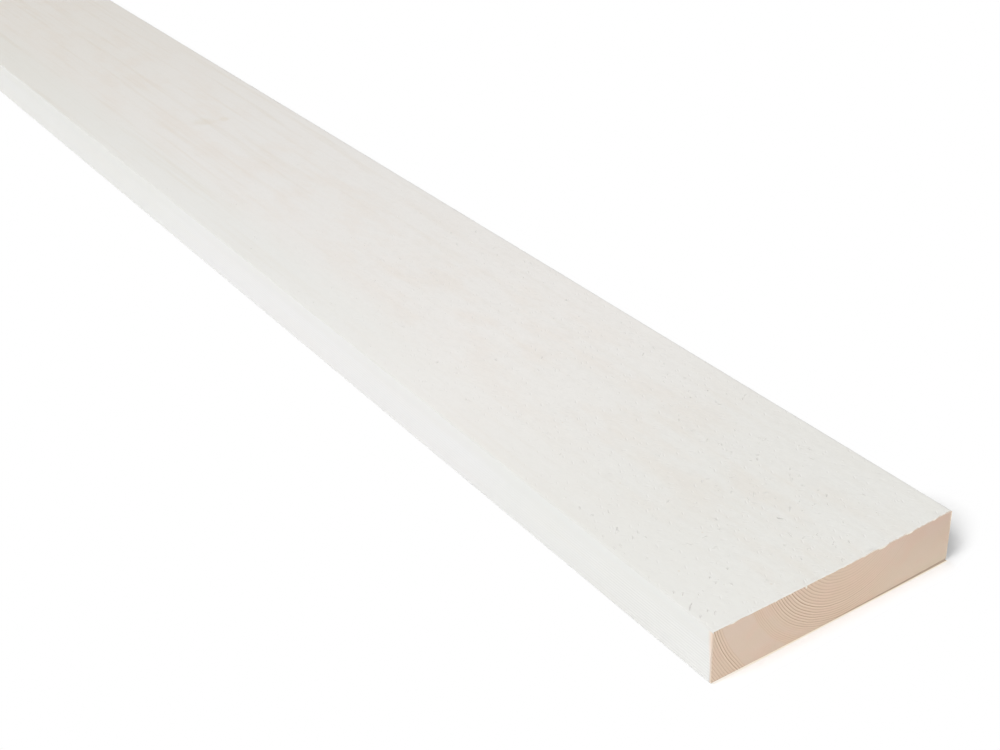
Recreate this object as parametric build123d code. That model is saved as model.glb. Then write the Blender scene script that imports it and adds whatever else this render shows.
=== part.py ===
from build123d import *

import math
import os

# A cladding board of white primed spruce, fine-sawn on its face: one length of stock with a plain rectangular
# section that has cupped a little in drying. The wood shrank more on the face, so the face is hollow and the
# back is proud by the same amount.
#
# Frame: X runs along the board, Y across it and Z up, out of the sawn face. The origin is at the bottom middle.

LENGTH = 3000.0
WIDTH = 120.0
THICKNESS = 23.0

# How far the middle of the face lies below a straightedge laid across it
CUP = 0.65

# The long edges are eased by the planer, and not the sawn ends
ARRIS_RADIUS = 0.6


def cup_radius(width, rise):
    """The radius of the arc that rises by this much over a chord of this width."""
    return (width / 2) ** 2 / (2 * rise) + rise / 2


def section():
    """The cupped rectangle across the board: two arcs about one centre above it, joined by square edges."""
    back_radius = cup_radius(WIDTH, CUP)
    face_radius = back_radius - THICKNESS
    half_angle = math.asin(WIDTH / 2 / back_radius)

    def at(radius, angle):
        return (radius * math.sin(angle), back_radius - radius * math.cos(angle))

    with BuildSketch(Plane.YZ) as sketch:
        with BuildLine():
            ThreePointArc(at(back_radius, -half_angle), at(back_radius, 0), at(back_radius, half_angle))
            Line(at(back_radius, half_angle), at(face_radius, half_angle))
            ThreePointArc(at(face_radius, half_angle), at(face_radius, 0), at(face_radius, -half_angle))
            Line(at(face_radius, -half_angle), at(back_radius, -half_angle))
        make_face()
        fillet(sketch.vertices(), ARRIS_RADIUS)
    return sketch.sketch


def board():
    """The section run along the whole length, with both ends sawn square."""
    return extrude(section(), LENGTH / 2, both=True)


os.makedirs("parts", exist_ok=True)
solid = board()
export_step(solid, "parts/board.step")
print("board", [round(side, 3) for side in solid.bounding_box().size], "mm,", round(solid.volume), "mm3")
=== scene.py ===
import math

import bpy
import numpy as np
from mathutils import Matrix, Vector


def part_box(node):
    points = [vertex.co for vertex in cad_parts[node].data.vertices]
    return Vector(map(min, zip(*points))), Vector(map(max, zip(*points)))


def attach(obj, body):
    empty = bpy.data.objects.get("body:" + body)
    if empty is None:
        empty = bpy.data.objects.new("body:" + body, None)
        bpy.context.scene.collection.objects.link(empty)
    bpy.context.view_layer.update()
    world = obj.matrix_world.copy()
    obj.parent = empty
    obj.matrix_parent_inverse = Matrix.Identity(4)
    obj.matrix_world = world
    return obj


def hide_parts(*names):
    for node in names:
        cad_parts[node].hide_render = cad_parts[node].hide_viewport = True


# A white primed cladding board with a fine-sawn face. X runs along it, Y across it and Z out of the face.
# Lengths are in metres, apart from those that a comment gives in millimetres. The camera sees the end at +X
# and the edge at -Y.
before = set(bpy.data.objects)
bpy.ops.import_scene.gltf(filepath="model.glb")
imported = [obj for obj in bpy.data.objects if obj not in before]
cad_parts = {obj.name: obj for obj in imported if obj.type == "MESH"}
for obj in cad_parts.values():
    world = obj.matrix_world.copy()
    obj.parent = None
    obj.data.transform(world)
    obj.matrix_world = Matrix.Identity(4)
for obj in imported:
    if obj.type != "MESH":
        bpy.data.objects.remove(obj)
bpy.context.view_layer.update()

MM = 0.001
low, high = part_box("board")
LENGTH = high[0] - low[0]
WIDTH = 120.0 * MM
THICKNESS = 23.0 * MM
CUP = 0.65 * MM
ARRIS = 0.6 * MM
NEAR_END = Vector((LENGTH / 2, 0, 0))

# The same sizes in millimetres, as the materials take them
HALF_LENGTH, HALF_WIDTH, TOP = LENGTH / 2 / MM, WIDTH / 2 / MM, THICKNESS / MM

# Where the camera stood, worked out from the board's straight edges in the photograph
CAMERA_PLACE = NEAR_END + Vector((297.3, -338.2, 366.6)) * MM
CAMERA_AZIMUTH, CAMERA_PITCH = math.radians(33.27), math.radians(30.64)
CAMERA_ROLL = math.radians(-1.98)
FOCAL_PIXELS, PHOTO_WIDTH, PHOTO_HEIGHT, SENSOR = 1522.0, 1000.0, 750.0, 36.0

# Growth rings on the ends, in millimetres, about a pith over the face. They grow narrower from the first one
# outwards, up to a radius in a plain stretch. Beyond it even rings start, with numbers of their own. One of
# the first rings is darker.
PITH_Y, PITH_Z = 6.5, 42.0
FIRST_RING, FIRST_PITCH, NARROWING = 21.2, 1.42, 0.0125
FIRST_COUNT_END, OUTER_START, OUTER_PITCH, OUTER_NUMBER = 58.0, 66.0, 1.02, 60.0
DARKER_RING, WIDEST_RADIUS = 35.2, 80.0

# How strongly the rings show: by their radius in millimetres, and by the share of the width from the left
SHOWN_BY_RADIUS = [(21, 0.45), (27, 0.6), (34.2, 0.75), (35.3, 1.0), (42.0, 0.9), (44.2, 0.65),
                   (45.2, 0.22), (47.0, 0.14), (48.4, 0.42), (49.6, 0.30), (50.9, 0.44), (52, 0.0),
                   (64.8, 0.0), (65.5, 1.2), (68.4, 1.2), (69.4, 0.55), (80, 0.6)]
SHOWN_ACROSS = [(0.0, 1.0), (0.36, 1.0), (0.46, 0.68), (0.56, 0.52), (0.64, 0.40), (0.74, 0.12), (1.0, 0.06)]

# How dark and how pale the wood is through one ring
LATEWOOD = [(0.20, 0.0), (0.42, 0.45), (0.50, 1.0), (0.60, 0.55), (0.68, 0.0)]
EARLYWOOD = [(0.0, 0.55), (0.14, 0.2), (0.60, 0.0), (0.74, 1.0), (1.0, 0.55)]

# Tongues of paint that ran a little way over the end: across, half width and depth in millimetres
TONGUES = [(22.6, 3.4, 0.85), (36.7, 2.6, 0.55), (-16.0, 0.6, 1.3), (-50.3, 2.4, 0.5), (3.0, 1.6, 0.3),
           (13.0, 1.2, 0.35), (-31.0, 1.5, 0.3), (50.0, 1.2, 0.3)]

# Knots under the primer, from the near end and across, with their half length, in millimetres
KNOTS = [(-556, 6, 4.5), (-552, 20, 3.0), (-1148, -24, 5.0), (-1165, -8, 3.0), (-1730, 14, 4.5),
         (-2294, -12, 4.0), (-2310, 31, 5.5), (-2842, 4, 4.0)]

# Marks on the face, in pixels of the photograph. Ticks and the nick, a longer slit, run between two places.
TICKS = [
    (755.5, 455.2, 760.4, 455.2), (748.6, 459.8, 752.8, 461.0), (753.3, 491.8, 753.0, 496.8),
    (746.7, 497.0, 749.0, 500.6), (816.8, 490.8, 820.0, 489.6), (811.9, 505.8, 816.0, 503.6),
    (826.0, 494.2, 827.0, 497.0), (827.2, 502.6, 828.2, 505.6), (864.6, 528.8, 867.4, 527.8),
    (801.4, 510.9, 804.0, 509.5), (776.2, 516.2, 778.4, 519.0), (778.0, 518.3, 784.0, 518.9),
    (786.8, 532.4, 792.4, 537.2), (802.4, 538.6, 804.8, 536.8), (833.9, 540.6, 832.0, 545.0),
    (834.8, 545.4, 836.2, 547.4), (847.6, 540.2, 851.0, 543.8), (615.4, 527.6, 613.3, 535.8),
    (617.6, 545.8, 620.6, 549.8), (601.4, 536.2, 601.2, 539.6), (577.0, 507.0, 578.0, 512.0),
    (610.0, 548.4, 614.4, 552.0), (635.4, 531.0, 637.0, 536.0), (630.2, 536.6, 631.6, 541.8),
    (645.6, 558.2, 643.2, 562.4), (647.6, 508.0, 648.0, 511.2), (701.4, 479.2, 701.2, 483.0),
    (800.4, 557.6, 801.4, 560.4), (725.0, 568.0, 727.4, 570.4), (788.4, 533.0, 790.4, 536.0),
    (789.9, 467.6, 790.0, 470.0), (789.4, 473.6, 790.4, 475.8), (789.4, 506.0, 789.0, 511.6),
    (698.3, 616.2, 698.7, 620.4), (705.9, 610.8, 706.2, 613.6), (713.6, 612.0, 713.2, 616.6),
    (696.4, 594.6, 698.2, 596.8), (681.0, 593.6, 681.2, 597.6), (671.6, 592.0, 672.2, 595.6),
    (708.0, 577.0, 708.8, 579.4)
]
DOTS = [
    (732.2, 444.8), (770.0, 445.8), (763.4, 440.0), (766.1, 478.0), (770.0, 478.8), (752.0, 479.2),
    (763.7, 498.9), (775.0, 497.9), (798.6, 475.9), (803.2, 466.0), (796.3, 489.7), (844.0, 502.4),
    (859.3, 503.0), (843.2, 521.8), (876.6, 512.4), (878.4, 515.0), (738.2, 529.8), (746.0, 528.2),
    (727.1, 524.7), (754.2, 538.7), (796.5, 526.9), (812.9, 536.6), (847.3, 534.9), (623.5, 555.0),
    (586.0, 521.0), (617.1, 500.9), (647.2, 579.0), (664.6, 592.2), (655.1, 519.3), (648.3, 500.4),
    (678.9, 531.0), (670.2, 549.9), (693.7, 574.4), (718.2, 490.0), (701.8, 591.7), (683.0, 460.0),
    (710.0, 467.0), (703.0, 452.0), (717.0, 580.0), (723.0, 585.0), (827.0, 556.0), (804.0, 537.0)
]
NICK = (692.0, 603.4, 689.0, 614.0)

# Ticks and dots are shallower left of a column: the column, and their depths there and elsewhere, 0 to 1
TICK_DEPTHS, DOT_DEPTHS = (660, 0.0, 0.5), (700, 0.25, 0.6)


# Relief

class Noise:
    """Smooth random values from -1 to 1 over a plane, from a seeded lattice that repeats."""

    CELLS = 256

    def __init__(self, seed):
        self.lattice = np.random.default_rng(seed).uniform(-1, 1, (self.CELLS, self.CELLS))

    def __call__(self, u, v):
        u, v = np.broadcast_arrays(u, v)
        column, row = np.floor(u).astype(int), np.floor(v).astype(int)
        fu, fv = u - column, v - row
        fu, fv = fu * fu * (3 - 2 * fu), fv * fv * (3 - 2 * fv)

        def corner(i, j):
            return self.lattice[(column + i) % self.CELLS, (row + j) % self.CELLS]

        near = corner(0, 0) * (1 - fu) + corner(1, 0) * fu
        far = corner(0, 1) * (1 - fu) + corner(1, 1) * fu
        return near * (1 - fv) + far * fv


def smoothstep(value, start, stop):
    share = np.clip((value - start) / (stop - start), 0, 1)
    return share * share * (3 - 2 * share)


def bend(across, height):
    """Cups a flat section: the back becomes an arc that is proud by CUP in its middle."""
    back_radius = (WIDTH / 2) ** 2 / (2 * CUP) + CUP / 2
    angle = across / (WIDTH / 2) * math.asin(WIDTH / 2 / back_radius)
    radius = back_radius - height
    return radius * np.sin(angle), back_radius - radius * np.cos(angle)


swell, saw_marks, pores, saw_lines, chips, lip = (Noise(seed) for seed in range(11, 17))

# The face's relief: height or depth in millimetres, then the pattern's length along and width across
SWELL_HEIGHT, SWELL_LENGTH, SWELL_WIDTH = 0.05, 38 * MM, 11 * MM
MARK_HEIGHT, MARK_LENGTH, MARK_WIDTH = 0.03, 3.4 * MM, 2.1 * MM
PIT_DEPTH, PIT_LENGTH, PIT_WIDTH = 0.10, 2.6 * MM, 1.7 * MM
# Noise values at a pit's rim and floor, and the distances from the near end over which the finer relief fades
PIT_LEVELS, RELIEF_FADE = (0.62, 0.95), (250 * MM, 600 * MM)

# The tool's lines on the edges, and the plain band that they fade into under the face
LINE_PITCH, LINE_DEPTH, PLAIN_BAND = 1.30 * MM, 0.05 * MM, 6.5 * MM
BAND_START, BAND_STOP = 0.8 * PLAIN_BAND, 1.3 * PLAIN_BAND
# The lines wander up and down by this much, over these lengths of board
LINE_WANDER = [(0.16 * MM, 410 * MM), (0.07 * MM, 133 * MM)]
# They are worn in patches of this length and height: strength on average and its spread
PATCH_LENGTH, PATCH_HEIGHT, PATCH_SHIFT, LINE_STRENGTH = 45 * MM, 2.7 * MM, 40, (0.6, 0.4)

# Chips in the eased corners of the face: depth, length of the pattern along and width across
CHIP_DEPTH, CHIP_LENGTH, CHIP_WIDTH, CHIP_LEVELS = 0.25 * MM, 3.1 * MM, 40 * MM, (0.5, 0.95)

# The rim at the face's cut edge, in millimetres: its height, and height, length and noise row of its waves
LIP_HEIGHT, LIP_WAVES = 0.10, [(0.13, 1.3, 3.5), (0.10, 0.8, 9.5)]
# Where single fibres stand up along it, in millimetres: across, height and half width
LIP_FIBRES = [(-11.0, 0.35, 1.2), (16.9, 0.55, 0.9), (18.6, 0.4, 0.6), (35.5, 0.3, 0.7), (-48.0, 0.3, 1.5),
              (-20.5, 0.25, 0.8)]
# It falls away over these distances from the end
LIP_FALL = (0.2 * MM, 1.6 * MM)


def face_relief(x, across):
    """Height of the fine-sawn face over its plain surface. It leaves the finest grain to the material."""
    fade = 1 - smoothstep(LENGTH / 2 - x, *RELIEF_FADE)
    height = SWELL_HEIGHT * swell(x / SWELL_LENGTH, across / SWELL_WIDTH)
    height = height + MARK_HEIGHT * fade * saw_marks(x / MARK_LENGTH, across / MARK_WIDTH)
    pits = smoothstep(pores(x / PIT_LENGTH, across / PIT_WIDTH), *PIT_LEVELS)
    return (height - PIT_DEPTH * fade * pits) * MM


def edge_relief(x, height):
    """Depth of the lines that the planing tool left along an edge. The band under the face has none."""
    wander = sum(reach * np.sin(2 * math.pi * x / length) for reach, length in LINE_WANDER)
    lines = np.cos(2 * math.pi * (height + wander) / LINE_PITCH)
    average, spread = LINE_STRENGTH
    strength = average + spread * saw_lines(x / PATCH_LENGTH, height / PATCH_HEIGHT + PATCH_SHIFT)
    band = smoothstep(THICKNESS - height, BAND_START, BAND_STOP)
    return LINE_DEPTH * (lines - 1) / 2 * strength * band


def lip_relief(x, across):
    """Paint and torn fibres that stand up where the saw cut the face's edge at the near end."""
    height = LIP_HEIGHT
    for rise, length, row in LIP_WAVES:
        height = height + rise * lip(across / (length * MM), row)
    for centre, rise, half in LIP_FIBRES:
        height = height + rise * np.exp(-(((across / MM - centre) / half) ** 2))
    return np.maximum(height, 0) * MM * (1 - smoothstep(LENGTH / 2 - x, *LIP_FALL))


# The board's skin: a ring round the section, repeated along the length

FACE, EDGE, BACK, END, CORNER = range(5)
FACE_STEPS, PLAIN_STEPS, LINE_STEPS, BACK_STEPS, ARRIS_STEPS = 150, 8, 68, 30, 3

# Steps along the board: the shortest and the longest, the length that the photograph shows, and how the steps
# grow with the distance gone, gone beyond that, and left
FINEST, COARSEST, SEEN_LENGTH = 0.9 * MM, 45 * MM, 850 * MM
GROWTH, UNSEEN_GROWTH, END_GROWTH = 0.0135, 0.08, 0.15

# How far a normal points up or out as the face or an edge starts, and from where on the rim may rise
FACING, ON_ARRIS_BELOW, RIM_FROM = (0.5, 0.95), 0.9, 0.3

# The map for baking: the skin in this many panels, with gaps between them, and the ends at a larger scale
PANELS, PANEL_GAP, PANEL_MARGIN, END_SCALE = 3, 6 * MM, 60 * MM, 3.4
MAP_SCALE = 1.0 / (LENGTH / PANELS + PANEL_MARGIN)


def edge_steps():
    """Shares of the way down an edge: wide steps on its plain band and close ones on its lines."""
    band = (PLAIN_BAND - ARRIS) / (THICKNESS - 2 * ARRIS)
    plain = np.linspace(0, band, PLAIN_STEPS, endpoint=False)
    return np.concatenate([plain, np.linspace(band, 1, LINE_STEPS + 1)])


def section_ring():
    """Across and height of each point of the flat section, its outward normal and what it lies on."""
    half, top = WIDTH / 2 - ARRIS, THICKNESS - ARRIS
    corners = [(-half, top), (half, top), (half, ARRIS), (-half, ARRIS)]
    face, back = np.linspace(0, 1, FACE_STEPS + 1), np.linspace(0, 1, BACK_STEPS + 1)
    steps = [face, edge_steps(), back, 1 - edge_steps()[::-1]]
    kinds = [FACE, EDGE, BACK, EDGE]
    points, normals, lies_on = [], [], []
    for side in range(4):
        turn = math.pi / 2 - side * math.pi / 2
        normal = np.array([math.cos(turn), math.sin(turn)])
        start, stop = np.array(corners[side]), np.array(corners[(side + 1) % 4])
        for share in steps[side]:
            points.append(start + (stop - start) * share + normal * ARRIS)
            normals.append(normal)
            lies_on.append(kinds[side] if share < 1 else CORNER)
        for step in range(1, ARRIS_STEPS):
            angle = turn - math.pi / 2 * step / ARRIS_STEPS
            normal = np.array([math.cos(angle), math.sin(angle)])
            points.append(stop + normal * ARRIS)
            normals.append(normal)
            lies_on.append(CORNER)
    return np.array(points), np.array(normals), np.array(lies_on)


def stations():
    """Places along the board from the near end to the far one, closest together at the ends."""
    places = [0.0]
    while places[-1] < LENGTH:
        gone, left = places[-1], LENGTH - places[-1]
        grown = FINEST + GROWTH * gone + UNSEEN_GROWTH * max(gone - SEEN_LENGTH, 0)
        places.append(gone + min(grown, COARSEST, FINEST + END_GROWTH * left))
    places = np.array(places) * LENGTH / places[-1]
    return LENGTH / 2 - places


STATIONS = stations()


def board_map(points):
    """Places on the map for the corners of every face: the panels side by side, and the ends beyond them."""
    closed = np.vstack([points, points[:1]])
    girth = np.concatenate([[0], np.cumsum(np.linalg.norm(np.diff(closed, axis=0), axis=1))])
    gone = LENGTH / 2 - STATIONS
    panel = np.minimum((gone[:-1] / (LENGTH / PANELS)).astype(int), PANELS - 1)
    first = np.array([gone[:-1][panel == each].min() for each in range(PANELS)])
    u_now, u_next = gone[:-1] - first[panel], gone[1:] - first[panel]
    v_now, v_next = girth[:-1], girth[1:]
    shift = (panel * (girth[-1] + PANEL_GAP))[:, None]
    ones = np.ones((len(panel), len(v_now)))
    u = np.stack([each[:, None] * ones for each in (u_next, u_now, u_now, u_next)], -1)
    v = np.stack([each + shift for each in (v_now, v_now, v_next, v_next)], -1)
    sides = np.stack([u, v], -1).reshape(-1, 2)
    beyond = PANELS * (girth[-1] + PANEL_GAP)
    near = (points[::-1] + [WIDTH / 2, 0]) * END_SCALE + [0, beyond]
    far = (points + [WIDTH / 2, 0]) * END_SCALE + [WIDTH * END_SCALE + PANEL_GAP, beyond]
    return np.concatenate([sides, near, far]) * MAP_SCALE


def board_vertices(points, normals):
    """The section's points at every station, moved by the relief and cupped."""
    x = STATIONS[:, None]
    across, height = points[None, :, 0], points[None, :, 1]
    outwards, upwards = normals[None, :, 0], normals[None, :, 1]
    on_face, on_edge = smoothstep(upwards, *FACING), smoothstep(np.abs(outwards), *FACING)
    on_arris = np.where(on_face + on_edge < ON_ARRIS_BELOW, 1.0, 0.0) * (height > THICKNESS / 2)
    out = on_face * face_relief(x, across) + on_edge * edge_relief(x, height)
    chipped = smoothstep(chips(x / CHIP_LENGTH, across / CHIP_WIDTH), *CHIP_LEVELS)
    out = out - on_arris * CHIP_DEPTH * chipped
    lift = np.where(upwards > RIM_FROM, lip_relief(x, across), 0.0)
    y, z = bend(across + outwards * out, height + upwards * out + lift)
    z = np.clip(z, low[2], high[2])
    return np.stack([np.broadcast_to(x, y.shape), y, z], -1).reshape(-1, 3)


def board_skin():
    """Vertices, faces, materials and map of the whole board, closed at both ends."""
    points, normals, lies_on = section_ring()
    count, ring = len(STATIONS), len(points)
    quads, kinds = [], []
    for row in range(count - 1):
        here, after = row * ring, (row + 1) * ring
        for column in range(ring):
            beside = (column + 1) % ring
            quads.append((after + column, here + column, here + beside, after + beside))
            kinds.append(int(lies_on[column]))
    near = list(range(ring))[::-1]
    far = [(count - 1) * ring + column for column in range(ring)]
    return board_vertices(points, normals), quads + [near, far], kinds + [END, END], board_map(points)


def put_in_scene(name, data):
    thing = bpy.data.objects.new(name, data)
    bpy.context.collection.objects.link(thing)
    return thing


def make_piece(name, vertices, polygons, kinds, places, materials):
    """A smooth mesh piece of the board, with its own map for baking."""
    mesh = bpy.data.meshes.new(name)
    mesh.from_pydata(vertices, [], polygons)
    for material in materials:
        mesh.materials.append(material)
    mesh.polygons.foreach_set("material_index", kinds)
    mesh.polygons.foreach_set("use_smooth", [True] * len(polygons))
    mesh.uv_layers.new(name="OFBake").data.foreach_set("uv", np.asarray(places, dtype=float).ravel())
    mesh.update()
    piece = put_in_scene(name, mesh)
    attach(piece, "root")
    return piece


def make_board():
    vertices, polygons, kinds, places = board_skin()
    materials = [primed_face(), primed_edge(), primed_back(), bare_end(), primed_arris()]
    board = make_piece("cladding_board", vertices.tolist(), polygons, kinds, places, materials)
    board.data.polygons.foreach_set("use_smooth", [kind != END for kind in kinds])
    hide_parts("board")


# Fibres that stand up from the face, and the slits that they were torn out of

PAINTED, TORN_AND_SHADED = range(2)
SIDES, RINGS, CELL_MARGIN = 4, 2, 0.05
FACE_STEP = (WIDTH - 2 * ARRIS) / FACE_STEPS

# Half width of a slit and half height of a fibre, in millimetres: the least, and what full depth adds
SLIT_WIDTH, FIBRE_HEIGHT = (0.05, 0.17), (0.02, 0.04)
SLIT_HEIGHT, SLIT_LIFT = 0.03 * MM, 0.04 * MM
FIBRE_WIDTH, FIBRE_LIFT = 0.16 * MM, 0.05 * MM
# How far the points of both reach under the face
TIP_DEPTH = 0.03 * MM
# Where a fibre lies from its slit, along and across in millimetres, on one side of it or the other
FIBRE_SHIFTS = {1: (-0.12, 0.42), -1: (-0.12, -0.62)}
NICK_BOW, NICK_WIDTH, NICK_LIFT = -0.6 * MM, 0.17 * MM, 0.035 * MM
DOT_REACH, DOT_BOW, TICK_BOW = 0.4 * MM, 0.1 * MM, 0.1

# The random marks: how many are tried, how far from the ends they keep, and how far across they spread in
# millimetres. Lengths follow a gamma curve in millimetres. Headings, in degrees, and bows, as shares of the
# length, follow normal curves.
RANDOM_MARKS, MARKS_FROM_ENDS, MARKS_ACROSS = 3600, 3 * MM, 55
LENGTH_CURVE, HEADING_CURVE, BOW_CURVE = (3.0, 0.55), (-22, 34), (0, 0.15)
SHORTEST, LONGEST = 0.4 * MM, 3.4 * MM
# They stand in clumps of this size. Over these distances from the end fewer stand, and then fewer deep ones.
CLUMP_LENGTH, CLUMP_WIDTH, CLUMP_LEVELS = 60 * MM, 22 * MM, (-1.1, 0.8)
FEWER, FEWER_DEEP, FEWER_SHARE, FEWER_DEEP_SHARE = (180 * MM, 420 * MM), (300 * MM, 560 * MM), 0.65, 0.8
# Beyond this distance and near the left edge they are all shallow
SHALLOW_BEYOND, SHALLOW_LEFT_OF, SHALLOW = 450 * MM, -14 * MM, 0.35


def skin_height(x, across):
    """Height of the board's own mesh over its plain face, so that marks neither sink into it nor float."""
    row = int(np.clip(np.searchsorted(-STATIONS, -x), 1, len(STATIONS) - 1))
    column = math.floor(across / FACE_STEP)
    rows, columns = STATIONS[[row - 1, row]], np.array([column, column + 1]) * FACE_STEP
    heights = face_relief(rows[:, None], columns[None, :])
    along = (rows[0] - x) / (rows[0] - rows[1])
    beside = across / FACE_STEP - column
    return (heights[0] * (1 - along) + heights[1] * along) @ np.array([1 - beside, beside])


def over_face(x, y, lift):
    """A point over the face at this place along and across the board."""
    across, height = bend(np.array(y), THICKNESS + skin_height(x, y) + lift)
    return Vector((float(x), float(across), min(float(height), high[2])))


def camera_turn():
    level, down = math.cos(CAMERA_PITCH), math.sin(CAMERA_PITCH)
    ahead = Vector((-level * math.cos(CAMERA_AZIMUTH), level * math.sin(CAMERA_AZIMUTH), -down))
    return ahead.to_track_quat("-Z", "Y").to_matrix() @ Matrix.Rotation(CAMERA_ROLL, 3, "Z")


def under_pixel(pixel):
    """The place on the face, along and across, that this pixel of the photograph shows."""
    right, up = pixel[0] - PHOTO_WIDTH / 2, PHOTO_HEIGHT / 2 - pixel[1]
    ray = camera_turn() @ Vector((right / FOCAL_PIXELS, up / FOCAL_PIXELS, -1))
    share = (THICKNESS + CUP / 3 - CAMERA_PLACE.z) / ray.z
    return np.array([CAMERA_PLACE.x + ray.x * share, CAMERA_PLACE.y + ray.y * share])


class Marks:
    """Collects small closed slivers that taper to a point at both ends."""

    def __init__(self):
        self.vertices, self.polygons, self.kinds, self.corners = [], [], [], []
        self.slivers = 0

    def sliver(self, start, stop, bow, half_width, half_height, lift, kind):
        """One sliver from start to stop, bowed sideways and lifted in the middle."""
        sideways = np.array([start[1] - stop[1], stop[0] - start[0]])
        sideways = sideways / np.linalg.norm(sideways)
        first = len(self.vertices)
        for step in range(RINGS + 2):
            share = step / (RINGS + 1)
            rise = math.sin(math.pi * share)
            middle = start + (stop - start) * share + sideways * bow * rise
            if step in (0, RINGS + 1):
                self.vertices.append(over_face(middle[0], middle[1], -TIP_DEPTH))
                continue
            for side in range(SIDES):
                turn = 2 * math.pi * side / SIDES
                place = middle + sideways * half_width * math.cos(turn)
                height = lift * rise + half_height * math.sin(turn)
                self.vertices.append(over_face(place[0], place[1], height))
        self.close(first, kind)
        self.slivers += 1

    def close(self, first, kind):
        """The faces of the sliver whose vertices start at this one: fans at both ends, and quads between."""
        last = first + 1 + RINGS * SIDES
        near, far = first + 1, last - SIDES
        for side in range(SIDES):
            beside = (side + 1) % SIDES
            self.face((first, near + beside, near + side), ((0, side + 0.5), (1, side + 1), (1, side)), kind)
            for ring in range(1, RINGS):
                here = near + (ring - 1) * SIDES
                after = here + SIDES
                self.face((here + side, here + beside, after + beside, after + side),
                          ((ring, side), (ring, side + 1), (ring + 1, side + 1), (ring + 1, side)), kind)
            self.face((far + side, far + beside, last),
                      ((RINGS, side), (RINGS, side + 1), (RINGS + 1, side + 0.5)), kind)

    def face(self, polygon, corners, kind):
        self.polygons.append(polygon)
        self.kinds.append(kind)
        self.corners.append((self.slivers, corners))

    def places(self):
        """Each sliver gets a cell of its own on the map."""
        cells = math.ceil(math.sqrt(self.slivers))
        inner = 1 - 2 * CELL_MARGIN
        places = []
        for sliver, corners in self.corners:
            for along, around in corners:
                places.append(((sliver % cells + CELL_MARGIN + inner * along / (RINGS + 1)) / cells,
                               (sliver // cells + CELL_MARGIN + inner * around / SIDES) / cells))
        return places

    def mark(self, start, stop, bow, depth, side=1):
        """A slit and the primed fibre that was torn out of it, on one side of it or the other. The slit is
        grey, torn grain and painted shade; the fibre is painted lighter as a highlight.
        """
        half_width = (SLIT_WIDTH[0] + SLIT_WIDTH[1] * depth) * MM
        self.sliver(start, stop, bow, half_width, SLIT_HEIGHT, SLIT_LIFT, TORN_AND_SHADED)
        half_height = (FIBRE_HEIGHT[0] + FIBRE_HEIGHT[1] * depth) * MM
        beside = np.array(FIBRE_SHIFTS[int(side)]) * MM
        self.sliver(start + beside, stop + beside, bow, FIBRE_WIDTH, half_height, FIBRE_LIFT, PAINTED)


def add_pictured_marks(marks):
    """The marks that stand out in the photograph, where it has them."""
    column, left_depth, depth = TICK_DEPTHS
    for tick in TICKS:
        start, stop = under_pixel(tick[:2]), under_pixel(tick[2:])
        bow = TICK_BOW * np.linalg.norm(stop - start)
        marks.mark(start, stop, bow, left_depth if tick[0] < column else depth)
    column, left_depth, depth = DOT_DEPTHS
    for dot in DOTS:
        place, reach = under_pixel(dot), np.array([DOT_REACH, 0])
        marks.mark(place - reach, place + reach, DOT_BOW, left_depth if dot[0] < column else depth)
    top, bottom = under_pixel(NICK[:2]), under_pixel(NICK[2:])
    marks.sliver(top, bottom, NICK_BOW, NICK_WIDTH, SLIT_HEIGHT, NICK_LIFT, TORN_AND_SHADED)


def add_random_marks(marks):
    """Marks over the whole face, in clumps, fewer and shallower further away."""
    picks = np.random.default_rng(31)
    clumps = Noise(32)
    for _ in range(RANDOM_MARKS):
        x = picks.uniform(low[0] + MARKS_FROM_ENDS, high[0] - MARKS_FROM_ENDS)
        y = picks.uniform(-MARKS_ACROSS, MARKS_ACROSS) * MM
        reach = picks.gamma(*LENGTH_CURVE) * MM
        heading = math.radians(picks.normal(*HEADING_CURVE))
        bow = picks.normal(*BOW_CURVE)
        chance = picks.uniform(0, 1)
        from_end = high[0] - x
        depth = chance ** 2 * (SHALLOW if y < SHALLOW_LEFT_OF or from_end > SHALLOW_BEYOND else 1.0)
        amount = clumps(x / CLUMP_LENGTH, y / CLUMP_WIDTH) - FEWER_SHARE * smoothstep(from_end, *FEWER)
        if amount < picks.uniform(*CLUMP_LEVELS) or reach < SHORTEST:
            continue
        side = picks.choice([1, 1, -1])
        if chance > 1 - FEWER_DEEP_SHARE * smoothstep(from_end, *FEWER_DEEP):
            continue
        place = np.array([x, y])
        step = min(reach, LONGEST) * np.array([math.cos(heading), math.sin(heading)])
        marks.mark(place - step / 2, place + step / 2, bow * reach, 0.1 + 0.7 * depth, side)


def make_marks():
    marks = Marks()
    add_pictured_marks(marks)
    add_random_marks(marks)
    # The fibres are painted lighter than the face as a highlight; the slits' grey is torn grain and painted
    # shade
    materials = [plain_paint("primed_fibre_highlight", FIBRE_PAINT_HIGHLIGHT), plain_paint("torn_grain_and_shade", TORN_GRAIN_AND_SHADE)]
    make_piece("raised_fibres", marks.vertices, marks.polygons, marks.kinds, marks.places(), materials)


# Materials

# The face's primer at the near end, further along and far away: their lightness is in part painted light and
# shade along the board. The back takes the first.
PRIMER_END = (0.780, 0.774, 0.740)
PRIMER = (0.839, 0.818, 0.789)
PRIMER_FAR = (0.815, 0.784, 0.736)
WARM_TINT = (0.975, 0.937, 0.902)
STREAK_TINT = (0.955, 0.935, 0.905)
COOL_TINT = (0.983, 1.0, 1.0)
PIT = (0.40, 0.37, 0.34)
KNOT = (0.66, 0.55, 0.38)
SPECK = (0.60, 0.47, 0.33)
# Strokes in the primer: dark ones for pits and painted shade, light ones as painted highlights
STROKE_PIT_AND_SHADE, STROKE_HIGHLIGHT = (0.60, 0.58, 0.55), (0.93, 0.92, 0.90)
FRAYED = (0.62, 0.52, 0.43)
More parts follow.
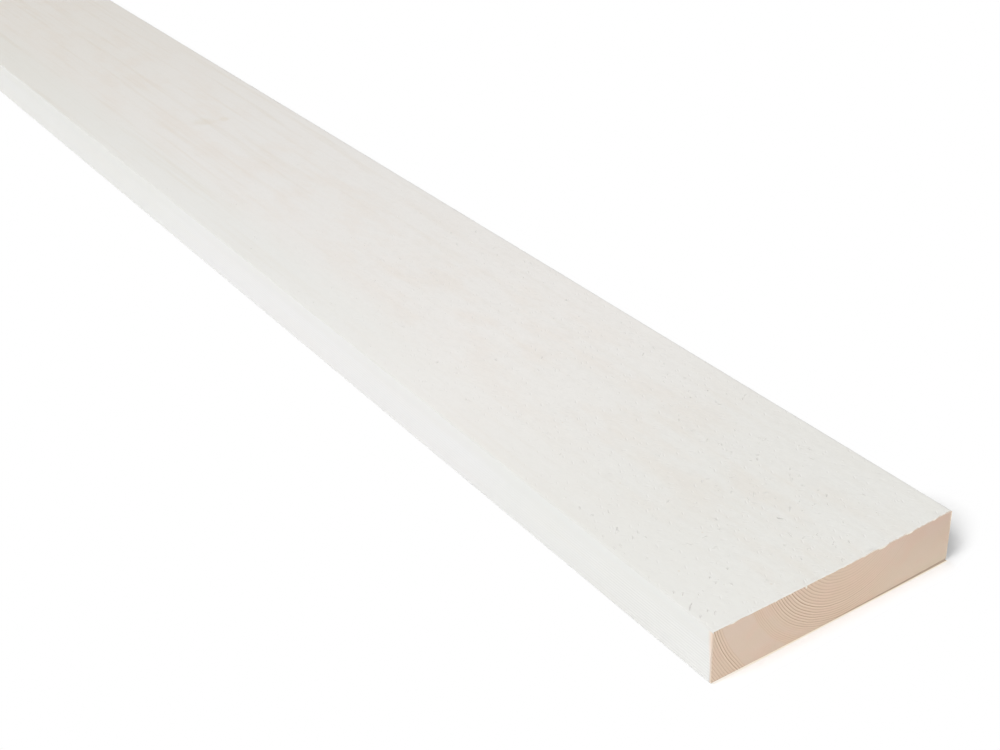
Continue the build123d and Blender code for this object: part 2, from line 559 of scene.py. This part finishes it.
# Fibres painted lighter as a highlight, and slits grey as torn grain and painted shade
FIBRE_PAINT_HIGHLIGHT, TORN_GRAIN_AND_SHADE = (0.89, 0.875, 0.85), (0.66, 0.64, 0.61)
BACK_GRAIN = (0.62, 0.55, 0.46)

# The edge: its plain band, and its lines painted lighter on the crests and darker in the grooves as highlight
# and shade. The groove colour also tints the grain.
EDGE_PLAIN, EDGE_CREST_HIGHLIGHT, EDGE_GROOVE_SHADE_AND_GRAIN = (0.766, 0.768, 0.745), (0.820, 0.822, 0.803), (0.736, 0.738, 0.721)
EDGE_WARM = (1.0, 0.988, 0.965)
# Painted light over the edge's middle distances from the ends, and painted shade beyond
EDGE_MIDDLE_PAINTED_LIGHT, EDGE_FAR_PAINTED_SHADE = (1.013, 1.006, 1.022), (0.989, 0.986, 0.984)
CUT_RIM, CUT_RIM_TOP = (0.83, 0.68, 0.575), (0.82, 0.63, 0.49)
# The eased corners: painted shade, darker in patches, and painted light near the bottom
ARRIS_PAINTED_SHADE, ARRIS_SHADE_PATCHES = (0.735, 0.731, 0.705), (0.705, 0.698, 0.665)
ARRIS_BELOW_PAINTED_LIGHT = (0.80, 0.80, 0.785)

WOOD, WOOD_PLAIN = (0.655, 0.500, 0.383), (0.665, 0.530, 0.435)
WOOD_GREEN, WOOD_PINK = (0.645, 0.520, 0.405), (0.675, 0.500, 0.400)
WOOD_DARK, WOOD_PALE = (0.400, 0.270, 0.180), (0.790, 0.655, 0.530)
SHADE_BELOW, SHADE_ABOVE = (0.950, 0.985, 0.955), (0.906, 0.873, 0.877)
# A dark line painted along the foot, as the shade of the gap under the cupped board
FOOT_PAINTED_SHADE = (0.42, 0.32, 0.24)
RIM = (0.850, 0.745, 0.620)
RUN_OVER = (0.82, 0.79, 0.71)
WHITE = (1.0, 1.0, 1.0)

# Strokes in the primer: angles, and in millimetres how far light ones lie from dark ones, and their cells
STROKE_ANGLES, STROKE_SHIFT = (math.radians(-28), math.radians(52)), 0.5
STROKE_CELL = (4.6, 1.2, 1000.0)
PLANER_PITCH = 2.4

# All in millimetres. Over these distances from the end the face's primer changes colour, cools, and changes
# lightness in part as painted light and shade; its streaks show more, and its grain, specks and strokes less.
TONE_NEAR, TONE_FAR, COOLING, STREAKS_GROW = (30.0, 230.0), (420.0, 820.0), (130.0, 300.0), (250.0, 550.0)
GRAIN_FADES, SPECKS_FADE, STROKES_FADE = (150.0, 600.0), (200.0, 500.0), (80.0, 420.0)
# Places across over which the cool tone stops, and grain and strokes grow to full strength. The warm clouds
# weaken away from one place across.
COOL_STOPS, GRAIN_ACROSS, STROKES_ACROSS = (-45.0, -22.0), (-60.0, -15.0), (-60.0, -20.0)
WARM_MIDDLE, WARM_FADES = 6.0, (12.0, 52.0)
# The strip of torn paint: its width, and where it starts across
TORN_WIDTH, TORN_STARTS = (0.15, 0.55), (2.0, 20.0)
# Distances from an end over which the edge's lines fade, and its middle and far tones, painted light and
# shade, start and stop
LINES_FADE, FAR_STARTS = (34.0, 95.0), (400.0, 600.0)
MIDDLE_STARTS, MIDDLE_STOPS = (110.0, 170.0), (400.0, 490.0)
# The edge's cut rim: the heights over which it grows wider, its widths there, and those over which it darkens
RIM_HEIGHTS, RIM_WIDTHS, RIM_DARKENS = (2.0, 22.0), (0.7, 2.9), (10.0, 22.0)
# The end: where its right half starts, its shade across and up, the heights of its painted foot shade and of
# the wide part of its pale rim, and that rim's width
RIGHT_STARTS, SHADE_ACROSS, SHADE_UP = (-20.0, 20.0), (10.0, 55.0), (2.0, 21.0)
FOOT_SHADE_UP, WIDE_UP, RIM_WIDTH = (0.12, 0.46), (12.0, 22.0), (0.15, 0.70)


class Paint:
    """A material's node tree. Each call adds what it needs and gives back the last output."""

    def __init__(self, name):
        self.material = bpy.data.materials.new(name)
        self.material.use_nodes = True
        self.tree = self.material.node_tree
        self.shader = self.tree.nodes["Principled BSDF"]
        self.shader.inputs["Specular IOR Level"].default_value = 0.3
        where = {"Vector": self.add("TexCoord").outputs["Object"], "Scale": 1 / MM}
        self.place = self.add("VectorMath", where, operation="SCALE").outputs["Vector"]
        axes = self.add("SeparateXYZ", {"Vector": self.place})
        self.x, self.y, self.z = (axes.outputs[name] for name in "XYZ")

    def add(self, kind, sockets=None, **settings):
        node = self.tree.nodes.new("ShaderNode" + kind)
        for name, value in settings.items():
            setattr(node, name, value)
        for name, value in (sockets or {}).items():
            self.put(node.inputs[name], value)
        return node

    def put(self, socket, value):
        if isinstance(value, bpy.types.NodeSocket):
            self.tree.links.new(value, socket)
        else:
            socket.default_value = value

    def math(self, operation, *values, clamp=False):
        node = self.add("Math", operation=operation, use_clamp=clamp)
        for socket, value in zip(node.inputs, values):
            self.put(socket, value)
        return node.outputs[0]

    def plus(self, first, second):
        return self.math("ADD", first, second)

    def minus(self, first, second):
        return self.math("SUBTRACT", first, second)

    def times(self, product, *others):
        for each in others:
            product = self.math("MULTIPLY", product, each)
        return product

    def apart(self, first, second):
        return self.math("ABSOLUTE", self.minus(first, second))

    def stretched(self, scale, offset):
        """The place in millimetres, with so many units of pattern to each millimetre."""
        node = self.add("VectorMath", operation="MULTIPLY_ADD")
        for socket, value in zip(node.inputs, (self.place, scale, offset)):
            self.put(socket, value)
        return node.outputs["Vector"]

    def distance(self, place):
        node = self.add("VectorMath", operation="DISTANCE")
        self.put(node.inputs[0], self.place)
        self.put(node.inputs[1], place)
        return node.outputs["Value"]

    def noise(self, scale, detail=2.0, roughness=0.5, offset=(0.0, 0.0, 0.0)):
        where = self.stretched(scale, offset)
        sockets = {"Vector": where, "Scale": 1.0, "Detail": detail, "Roughness": roughness}
        return self.add("TexNoise", sockets).outputs["Fac"]

    def spots(self, where, radius, share):
        """Round spots in a share of the pattern's cells, each of its own size: 1 in its middle, 0 outside."""
        node = self.add("TexVoronoi", {"Vector": where, "Scale": 1.0})
        pick = self.add("SeparateColor", {"Color": node.outputs["Color"]})
        size = self.fit(pick.outputs[0], 1 - share, 1.0, 0.001, radius)
        return self.fit(self.math("DIVIDE", node.outputs["Distance"], size), 1.0, 0.4)

    def strokes(self, angle, shift, share):
        """Short strokes at this angle to the board, in cells of their own."""
        turn = (0.0, 0.0, angle)
        sockets = {"Vector": self.place, "Location": shift, "Rotation": turn, "Scale": STROKE_CELL}
        cells = self.add("Mapping", sockets, vector_type="TEXTURE")
        return self.spots(cells.outputs["Vector"], 0.34, share)

    def fit(self, value, start, stop, first=0.0, last=1.0, smooth=True):
        """The value from start to stop, brought to the range from first to last and held beyond it."""
        sockets = {"Value": value, "From Min": start, "From Max": stop, "To Min": first, "To Max": last}
        node = self.add("MapRange", sockets)
        node.interpolation_type = "SMOOTHSTEP" if smooth else "LINEAR"
        return node.outputs["Result"]

    def mix(self, share, first, second, blend="MIX"):
        node = self.add("Mix", data_type="RGBA", blend_type=blend)
        for name, value in (("Factor_Float", share), ("A_Color", first), ("B_Color", second)):
            socket = next(each for each in node.inputs if each.identifier == name)
            self.put(socket, (*value, 1.0) if isinstance(value, tuple) else value)
        return next(each for each in node.outputs if each.identifier == "Result_Color")

    def tint(self, share, colour, tone):
        return self.mix(share, colour, tone, "MULTIPLY")

    def ramp(self, value, stops):
        node = self.add("ValToRGB", {"Fac": value})
        elements = node.color_ramp.elements
        while len(elements) < len(stops):
            elements.new(0.5)
        for element, (place, grey) in zip(elements, stops):
            element.position = place
            element.color = (grey, grey, grey, 1.0)
        return node.outputs["Color"]

    def finish(self, colour, roughness, bumps):
        """Puts colour and roughness on the shader, with bumps as pairs of height and depth in millimetres."""
        self.put(self.shader.inputs["Base Color"], colour)
        self.put(self.shader.inputs["Roughness"], roughness)
        normal = None
        for height, depth in bumps:
            node = self.add("Bump", {"Height": height, "Distance": depth * MM, "Strength": 1.0})
            if normal is not None:
                self.put(node.inputs["Normal"], normal)
            normal = node.outputs["Normal"]
        self.put(self.shader.inputs["Normal"], normal)
        return self.material


# The face

def knots_under(p, colour):
    """Faint knots with ragged outlines."""
    ragged = p.fit(p.noise((0.12, 0.12, 0.0)), 0.2, 0.8, -2.0, 2.0)
    for along, across, half in KNOTS:
        away = p.plus(p.distance((HALF_LENGTH + along, across, TOP)), ragged)
        colour = p.mix(p.fit(away, half * 0.3, half * 1.9, 0.17, 0.0), colour, KNOT)
    return colour


def strokes_under(p, colour, from_end):
    """Short dark strokes, pits and painted shade, with a painted highlight beside each, weaker further away
    and near the left edge.
    """
    seen = p.times(p.fit(from_end, *STROKES_FADE, 1.0, 0.2), p.fit(p.y, *STROKES_ACROSS, 0.5, 1.0))
    for angle in STROKE_ANGLES:
        for shift, tone, share in ((0.0, STROKE_PIT_AND_SHADE, 0.40), (STROKE_SHIFT, STROKE_HIGHLIGHT, 0.34)):
            strokes = p.strokes(angle, (0.3 * shift, shift, 0.0), 0.55)
            colour = p.mix(p.times(strokes, seen, share), colour, tone)
    return colour


def torn_edge(p, colour, from_end, fine):
    """A thin strip of torn paint along the right half of the near edge, less so over the tongues of paint."""
    torn = p.fit(p.minus(from_end, p.fit(fine, 0.3, 0.7, -0.25, 0.35)), *TORN_WIDTH, 0.75, 0.0)
    for centre, half, _ in TONGUES:
        torn = p.times(torn, p.fit(p.apart(p.y, centre), 0.5 * half, 1.1 * half, 0.25, 1.0))
    return p.mix(p.times(torn, p.fit(p.y, *TORN_STARTS)), colour, FRAYED)


def primed_face():
    """Primer over the fine-sawn face: grain and knots show through faintly."""
    p = Paint("primed_fine_sawn_face")
    from_end = p.minus(HALF_LENGTH, p.x)
    cloud = p.noise((0.022, 0.060, 0.0), 4.0, 0.6)
    streaks = p.noise((0.0055, 0.20, 0.0), 4.0, 0.62, (0.0, 3.7, 0.0))
    mottle = p.noise((0.16, 0.34, 0.0), 3.0, 0.65, (1.0, 8.0, 0.0))
    fine = p.noise((0.45, 0.8, 0.0), 3.0, 0.7)
    saw = p.noise((0.7, 1.1, 0.0), 4.0, 0.65)
    rough = p.times(p.fit(from_end, *GRAIN_FADES, 1.0, 0.35), p.fit(p.y, *GRAIN_ACROSS, 0.5, 1.0))

    colour = p.mix(p.fit(from_end, *TONE_NEAR), PRIMER_END, PRIMER)
    colour = p.mix(p.fit(from_end, *TONE_FAR), colour, PRIMER_FAR)
    warm = p.times(p.fit(cloud, 0.42, 0.66), p.fit(p.apart(p.y, WARM_MIDDLE), *WARM_FADES, 1.0, 0.25))
    colour = p.tint(p.times(warm, 0.5), colour, WARM_TINT)
    streaked = p.times(p.fit(streaks, 0.48, 0.72), p.fit(from_end, *STREAKS_GROW, 0.35, 1.0))
    colour = p.tint(p.times(streaked, 0.8), colour, STREAK_TINT)
    cooler = p.times(p.fit(p.y, *COOL_STOPS, 1.0, 0.0), p.fit(from_end, *COOLING))
    colour = p.tint(cooler, colour, COOL_TINT)

    colour = p.mix(p.times(p.fit(mottle, 0.40, 0.68, 0.0, 0.045), rough), colour, PIT)
    colour = p.mix(p.times(p.fit(fine, 0.40, 0.75, 0.0, 0.045), rough), colour, PIT)
    colour = knots_under(p, colour)
    specks = p.spots(p.stretched((0.16, 0.19, 0.0), (7.3, 2.1, 0.0)), 0.11, 0.30)
    colour = p.mix(p.times(specks, p.fit(from_end, *SPECKS_FADE, 0.22, 0.08)), colour, SPECK)
    colour = strokes_under(p, colour, from_end)
    colour = torn_edge(p, colour, from_end, fine)
    return p.finish(colour, p.fit(fine, 0.3, 0.7, 0.58, 0.74), [(p.times(saw, rough), 0.075)])


def plain_paint(name, colour):
    material = bpy.data.materials.new(name)
    material.use_nodes = True
    shader = material.node_tree.nodes["Principled BSDF"]
    shader.inputs["Base Color"].default_value = (*colour, 1.0)
    shader.inputs["Roughness"].default_value = 0.7
    shader.inputs["Specular IOR Level"].default_value = 0.2
    return material


# The edges, the eased corners and the back

def primed_arris():
    """Primer where the planer eased the long corners, painted darker than face and edges as shade, in
    patches, and paler near the bottom as painted light.
    """
    p = Paint("primed_arris")
    arris_patches = p.noise((0.05, 0.5, 0.5), 3.0, 0.6)
    # Painted shade in patches, and painted light near the bottom
    colour = p.mix(p.fit(arris_patches, 0.3, 0.7), ARRIS_PAINTED_SHADE, ARRIS_SHADE_PATCHES)
    colour = p.mix(p.fit(p.z, 2.0, 3.0, 1.0, 0.0), colour, ARRIS_BELOW_PAINTED_LIGHT)
    return p.finish(colour, 0.7, [(arris_patches, 0.03)])


def line_grooves(p, from_end):
    """The tool's lines, 1 in their grooves and 0 on their crests, and more even away from the ends."""
    place = p.minus(p.z, CUP / MM)
    for reach, length in LINE_WANDER:
        wave = p.math("SINE", p.times(p.x, 2 * math.pi * MM / length))
        place = p.plus(place, p.times(wave, reach / MM))
    groove = p.fit(p.math("COSINE", p.times(place, 2 * math.pi * MM / LINE_PITCH)), 1.0, -1.0, smooth=False)
    worn = p.fit(p.noise((0.02, 0.0, 0.4)), 0.3, 0.7, 0.5, 1.0)
    worn = p.times(worn, p.fit(from_end, *LINES_FADE, 1.0, 0.45))
    return p.plus(0.5, p.times(p.minus(groove, 0.5), worn))


def primed_edge():
    """Primer over an edge, with the tool's lines along it, painted lighter on their crests and darker in
    their grooves as highlight and shade.
    """
    p = Paint("primed_edge")
    from_end = p.minus(HALF_LENGTH, p.math("ABSOLUTE", p.x))
    cloud = p.noise((0.012, 0.05, 0.12), 3.0, 0.55)
    grain = p.noise((0.010, 0.02, 1.9), 3.0, 0.7)
    fine = p.noise((0.5, 1.0, 1.0), 3.0, 0.7)
    lined = p.fit(p.z, (THICKNESS - BAND_STOP + CUP) / MM, (THICKNESS - BAND_START + CUP) / MM, 1.0, 0.0)
    # The lines' crests and grooves are painted lighter and darker, as highlight and shade
    colour = p.mix(lined, EDGE_PLAIN, p.mix(line_grooves(p, from_end), EDGE_CREST_HIGHLIGHT, EDGE_GROOVE_SHADE_AND_GRAIN))
    colour = p.tint(p.fit(cloud, 0.35, 0.7, 0.0, 0.5), colour, EDGE_WARM)
    colour = p.mix(p.fit(grain, 0.4, 0.7, 0.0, 0.12), colour, EDGE_GROOVE_SHADE_AND_GRAIN)
    # Painted light over the middle distances from the ends, and painted shade further away
    middle = p.times(p.fit(from_end, *MIDDLE_STARTS), p.fit(from_end, *MIDDLE_STOPS, 1.0, 0.0))
    colour = p.tint(middle, colour, EDGE_MIDDLE_PAINTED_LIGHT)
    colour = p.tint(p.fit(from_end, *FAR_STARTS), colour, EDGE_FAR_PAINTED_SHADE)
    cut_rim = p.mix(p.fit(p.z, *RIM_DARKENS), CUT_RIM, CUT_RIM_TOP)
    strip = p.math("DIVIDE", from_end, p.fit(p.z, *RIM_HEIGHTS, *RIM_WIDTHS))
    colour = p.mix(p.fit(strip, 0.1, 1.0, 0.9, 0.0), colour, cut_rim)
    return p.finish(colour, 0.6, [(grain, 0.05), (fine, 0.03)])


def primed_back():
    """Primer over the planed back: thinner, so the grain shows a little more."""
    p = Paint("primed_back")
    cloud = p.noise((0.008, 0.03, 0.0), 3.0, 0.55, (3.0, 5.0, 0.0))
    grain = p.noise((0.005, 0.22, 0.0), 4.0, 0.6, (9.0, 1.0, 0.0))
    fine = p.noise((0.5, 0.9, 0.0), 3.0, 0.7)
    colour = p.tint(p.fit(cloud, 0.35, 0.7, 0.0, 0.6), PRIMER_END, WARM_TINT)
    colour = p.mix(p.fit(grain, 0.35, 0.7, 0.0, 0.12), colour, BACK_GRAIN)
    planer = p.math("SINE", p.times(p.x, 2 * math.pi / PLANER_PITCH))
    return p.finish(colour, 0.6, [(planer, 0.006), (fine, 0.03)])


# The ends

def ring_radius(p):
    """Distance from the pith, a little uneven."""
    squares = [p.math("POWER", p.minus(*pair), 2.0) for pair in ((p.y, PITH_Y), (p.z, PITH_Z))]
    warp = p.noise((0.0, 0.07, 0.07))
    return p.plus(p.math("SQRT", p.plus(*squares)), p.fit(warp, 0.2, 0.8, -0.35, 0.35, smooth=False))


def ring_count(p, radius):
    """The number of the ring at this radius, and the share of it gone by. The first growth's rings narrow."""
    under_root = p.minus(FIRST_PITCH ** 2, p.times(4 * NARROWING, p.minus(radius, FIRST_RING)))
    root = p.math("SQRT", p.math("MAXIMUM", under_root, 0.01))
    inner = p.math("DIVIDE", p.minus(FIRST_PITCH, root), 2 * NARROWING)
    outer = p.math("DIVIDE", p.minus(radius, OUTER_START), OUTER_PITCH)
    is_outer = p.math("GREATER_THAN", radius, FIRST_COUNT_END)
    count = p.plus(p.times(p.minus(1.0, is_outer), inner), p.times(is_outer, p.plus(outer, OUTER_NUMBER)))
    return p.plus(count, 0.5)


def ringed_wood(p):
    """Colour of the end grain, and its latewood for the bump."""
    radius = ring_radius(p)
    count = ring_count(p, radius)
    phase = p.math("FRACT", count)
    latewood, earlywood = p.ramp(phase, LATEWOOD), p.ramp(phase, EARLYWOOD)
    by_radius = [(place / WIDEST_RADIUS, shown) for place, shown in SHOWN_BY_RADIUS]
    shown = p.times(p.ramp(p.math("DIVIDE", radius, WIDEST_RADIUS), by_radius),
                    p.ramp(p.math("DIVIDE", p.plus(p.y, HALF_WIDTH), 2 * HALF_WIDTH), SHOWN_ACROSS))
    year = p.add("TexWhiteNoise", {"W": p.math("FLOOR", count)}, noise_dimensions="1D")
    any_year = p.fit(year.outputs["Value"], 0.0, 1.0, 0.45, 1.15, smooth=False)
    darker_year = p.fit(p.apart(radius, DARKER_RING), 0.5, 1.1, 0.8, 0.0)
    strength = p.times(shown, p.plus(darker_year, any_year))

    tone = p.noise((0.0, 0.055, 0.11), 3.0, 0.5)
    blush = p.noise((0.0, 0.09, 0.12), offset=(0.0, 4.0, 9.0))
    colour = p.mix(p.fit(shown, 0.02, 0.35, 0.85, 0.0), WOOD, WOOD_PLAIN)
    colour = p.mix(p.fit(tone, 0.38, 0.64, 0.0, 0.55), colour, WOOD_GREEN)
    colour = p.mix(p.fit(blush, 0.44, 0.66, 0.0, 0.5), colour, WOOD_PINK)
    colour = p.mix(p.math("MULTIPLY", p.times(latewood, strength), 1.25, clamp=True), colour, WOOD_DARK)
    colour = p.mix(p.math("MULTIPLY", p.times(earlywood, strength), 0.62, clamp=True), colour, WOOD_PALE)
    return colour, latewood


def end_rims(p, colour, ragged, from_back):
    """A dark line painted as shade along the foot's right half, and a pale rim along the sides, wider at the
    top right.
    """
    right = p.fit(p.y, *RIGHT_STARTS)
    # Painted shade along the foot's right half
    colour = p.mix(p.times(p.fit(from_back, *FOOT_SHADE_UP, 1.0, 0.0), right), colour, FOOT_PAINTED_SHADE)
    wider = p.times(p.fit(p.z, *WIDE_UP), right)
    from_side = p.minus(HALF_WIDTH, p.math("ABSOLUTE", p.y))
    inside = p.minus(p.plus(from_side, p.fit(ragged, 0.2, 0.8, -0.15, 0.15)), p.times(wider, 0.5))
    strength = p.plus(p.fit(p.y, *RIGHT_STARTS, 0.9, 0.45), p.times(wider, 0.5))
    return p.mix(p.times(p.fit(inside, *RIM_WIDTH, 1.0, 0.0), strength), colour, RIM)


def paint_run_over(p, colour, ragged, from_back):
    """Primer from the face that ran a little way over the end, further in the tongues."""
    drop = p.fit(ragged, 0.2, 0.8, -0.25, 0.10)
    for centre, half, depth in TONGUES:
        drop = p.plus(drop, p.fit(p.apart(p.y, centre), 0.2 * half, half, depth, 0.0))
    from_face = p.minus(TOP, from_back)
    return p.mix(p.fit(p.minus(drop, from_face), -0.05, 0.15, 0.0, 0.9), colour, RUN_OVER)


def bare_end():
    """The sawn end: bare wood with growth rings about a pith over the face, and primer just over its rim."""
    p = Paint("bare_end_grain")
    colour, latewood = ringed_wood(p)
    fleck = p.noise((0.0, 2.2, 2.2), 3.0, 0.7)
    kerf = p.noise((0.0, 0.25, 3.0), 3.0, 0.6)
    ragged = p.noise((0.0, 1.1, 1.1), 3.0, 0.6)
    from_back = p.minus(p.z, p.times(p.math("POWER", p.y, 2.0), CUP / MM / HALF_WIDTH ** 2))
    colour = p.mix(p.fit(fleck, 0.40, 0.75, 0.0, 0.07), colour, WOOD_DARK)
    shade = p.mix(p.fit(p.z, *SHADE_UP, smooth=False), SHADE_BELOW, SHADE_ABOVE)
    colour = p.tint(p.fit(p.y, *SHADE_ACROSS), colour, shade)
    colour = end_rims(p, colour, ragged, from_back)
    colour = paint_run_over(p, colour, ragged, from_back)
    return p.finish(colour, 0.7, [(latewood, 0.02), (kerf, 0.04), (fleck, 0.04)])


# Stage

WORLD_LIGHT = 0.12
FLOOR_LIGHT, FLOOR_SHADED, FLOOR_HALF = 0.80, (0.5, 0.5, 0.5), 7.0
# The floor, in millimetres: it turns white over this distance beside the board, and so many times sooner past
# its end. Close by the unlit side it is painted darker, as shadow.
SHADOW, PAST_END = (2.0, 27.0), 3.3
CLOSE_BY, CLOSE_BACK, CLOSE_SHARE, UNDER_SIDE = (6.0, 16.0), (-2.0, 3.0), 0.44, -2.0
# Back from the end the shadow widens, and then narrows again
WIDENS, WIDTHS, NARROWS, NARROWER = (0.0, 18.0), (-7.0, 20.0), (24.0, 42.0), 16.0
# Along the lit side the floor is white up to the board
LIT_SIDE = (-1.8, -0.4)
# The warm light that the bare end throws on the floor at its foot, painted in as a glow
FOOT_LIGHT = (0.86, 0.755, 0.60)
# It fades outwards, stops under the board and at the left corner, and is weaker near that corner
FOOT_FADES, FOOT_STOPS, FOOT_CORNER, FOOT_GROWS = (-1.3, -0.1), (1.5, 3.0), (-59.5, -58.0), (-59.5, -30.0)
# The dark line painted as shade at the end's foot: its shade, its width at the right, its rim, and where it
# widens and starts
CONTACT_SHADE, CONTACT_WIDTH = (0.44, 0.34, 0.26), 0.28
CONTACT_RIM, CONTACT_WIDENS, CONTACT_STARTS = (-0.15, 0.05), (-30.0, 45.0), (-30.0, 10.0)
# Each lamp's name, place from the near end, size, power, and the place from the near end that it is aimed at
LAMPS = [("key", (0.00, -1.25, 1.35), 0.8, 24.1, (-0.2, 0.0, 0.0)),
         ("front", (1.50, 0.60, 0.90), 0.9, 21.6, (0.0, 0.0, 0.0)),
         ("far_half", (-2.20, -1.30, 1.40), 1.2, 28.2, (-2.2, 0.0, 0.0)),
         ("behind", (-1.60, 1.80, 1.60), 1.6, 2.5, (-1.6, 0.0, 0.0))]


def seen_itself(tree):
    """Is 1 where a surface is seen straight on, in a mirror or through glass, and 0 where it gives light."""
    rays = tree.nodes.new("ShaderNodeLightPath")
    most = rays.outputs["Is Camera Ray"]
    for name in ("Is Glossy Ray", "Is Transmission Ray"):
        either = tree.nodes.new("ShaderNodeMath")
        either.operation = "MAXIMUM"
        tree.links.new(most, either.inputs[0])
        tree.links.new(rays.outputs[name], either.inputs[1])
        most = either.outputs[0]
    return most


def floor_colour(p, seen, back, past_side):
    """Pale where the floor lights the board, white where it is seen, and painted darker close to the right
    edge, as shadow.
    """
    pale = p.mix(seen, (FLOOR_LIGHT,) * 3, WHITE)
    # Painted shadow close by the right edge
    close = p.times(p.fit(past_side, *CLOSE_BY, CLOSE_SHARE, 0.0), p.fit(back, *CLOSE_BACK),
                    p.math("GREATER_THAN", past_side, UNDER_SIDE))
    return p.mix(close, pale, FLOOR_SHADED)


def floor_foot(p, back):
    """How far the floor at the near end's foot shows its own glow, and the colour of the glow: painted warm
    light, with a painted dark line of shade at the contact.
    """
    contact = p.plus(back, p.fit(p.y, *CONTACT_WIDENS, 0.0, CONTACT_WIDTH))
    foot = p.times(p.fit(contact, *FOOT_FADES), p.fit(back, *FOOT_STOPS, 1.0, 0.0), p.fit(p.y, *FOOT_CORNER),
                   p.math("COMPARE", p.y, 0.0, HALF_WIDTH))
    dark = p.times(p.fit(contact, *CONTACT_RIM), p.fit(p.y, *CONTACT_STARTS))
    warmth = p.times(foot, p.fit(p.y, *FOOT_GROWS, 0.45, 1.0))
    return foot, p.mix(warmth, WHITE, p.mix(dark, FOOT_LIGHT, CONTACT_SHADE))


def floor_away(p, back, past_side):
    """How far a place lies from the shadow: it starts further from the right edge back from the end."""
    wider = p.minus(p.fit(back, *WIDENS, *WIDTHS, smooth=False), p.fit(back, *NARROWS, 0.0, NARROWER))
    beside = p.times(p.minus(past_side, wider), p.math("GREATER_THAN", past_side, 0.0))
    past_end = p.math("MAXIMUM", p.minus(p.math("ABSOLUTE", p.x), HALF_LENGTH), 0.0)
    return p.plus(p.math("MAXIMUM", beside, 0.0), p.times(past_end, PAST_END))


def floor_material():
    p = Paint("white_floor")
    p.shader.inputs["Roughness"].default_value = 1.0
    p.shader.inputs["Specular IOR Level"].default_value = 0.0
    seen = seen_itself(p.tree)
    back, past_side = p.minus(HALF_LENGTH, p.x), p.minus(p.y, HALF_WIDTH)
    past_lit_side = p.minus(p.times(p.y, -1.0), HALF_WIDTH)
    p.put(p.shader.inputs["Base Color"], floor_colour(p, seen, back, past_side))
    foot, foot_colour = floor_foot(p, back)
    lit = p.math("MAXIMUM", foot, p.fit(floor_away(p, back, past_side), *SHADOW))
    lit = p.math("MAXIMUM", lit, p.fit(past_lit_side, *LIT_SIDE))
    glow = p.add("Emission", {"Color": foot_colour, "Strength": 1.0})
    both = p.add("MixShader", {"Fac": p.times(seen, lit)})
    p.put(both.inputs[1], p.shader.outputs["BSDF"])
    p.put(both.inputs[2], glow.outputs["Emission"])
    p.put(p.tree.nodes["Material Output"].inputs["Surface"], both.outputs["Shader"])
    return p.material


def make_floor():
    """A pale floor. Seen straight on, it is white away from the board and keeps the shadow beside it."""
    mesh = bpy.data.meshes.new("floor")
    corners = [(x * FLOOR_HALF, y * FLOOR_HALF, 0) for x, y in ((-1, -1), (1, -1), (1, 1), (-1, 1))]
    mesh.from_pydata(corners, [], [(0, 1, 2, 3)])
    mesh.materials.append(floor_material())
    floor = put_in_scene("floor", mesh)


def make_world():
    world = bpy.data.worlds.new("studio")
    bpy.context.scene.world = world
    world.use_nodes = True
    tree = world.node_tree
    background = tree.nodes["Background"]
    background.inputs["Color"].default_value = (*WHITE, 1.0)
    strength = tree.nodes.new("ShaderNodeMapRange")
    strength.inputs["To Min"].default_value = WORLD_LIGHT
    strength.inputs["To Max"].default_value = 1.0
    tree.links.new(seen_itself(tree), strength.inputs["Value"])
    tree.links.new(strength.outputs["Result"], background.inputs["Strength"])


def make_lamp(name, offset, size, power, aim):
    """A square soft lamp."""
    data = bpy.data.lights.new(name, "AREA")
    data.shape = "SQUARE"
    data.size = size
    data.energy = power
    lamp = put_in_scene(name, data)
    lamp.location = NEAR_END + Vector(offset)
    lamp.rotation_mode = "QUATERNION"
    lamp.rotation_quaternion = (Vector(aim) - Vector(offset)).to_track_quat("-Z", "Y")


def make_camera():
    data = bpy.data.cameras.new("camera")
    data.sensor_width = SENSOR
    data.lens = FOCAL_PIXELS / PHOTO_WIDTH * SENSOR
    data.clip_start, data.clip_end = 0.01, 50.0
    camera = put_in_scene("camera", data)
    camera.matrix_world = Matrix.Translation(CAMERA_PLACE) @ camera_turn().to_4x4()
    bpy.context.scene.camera = camera


make_camera()
make_board()
make_marks()
make_floor()
make_world()
for lamp in LAMPS:
    make_lamp(*lamp)
bpy.context.scene.view_settings.view_transform = "Standard"
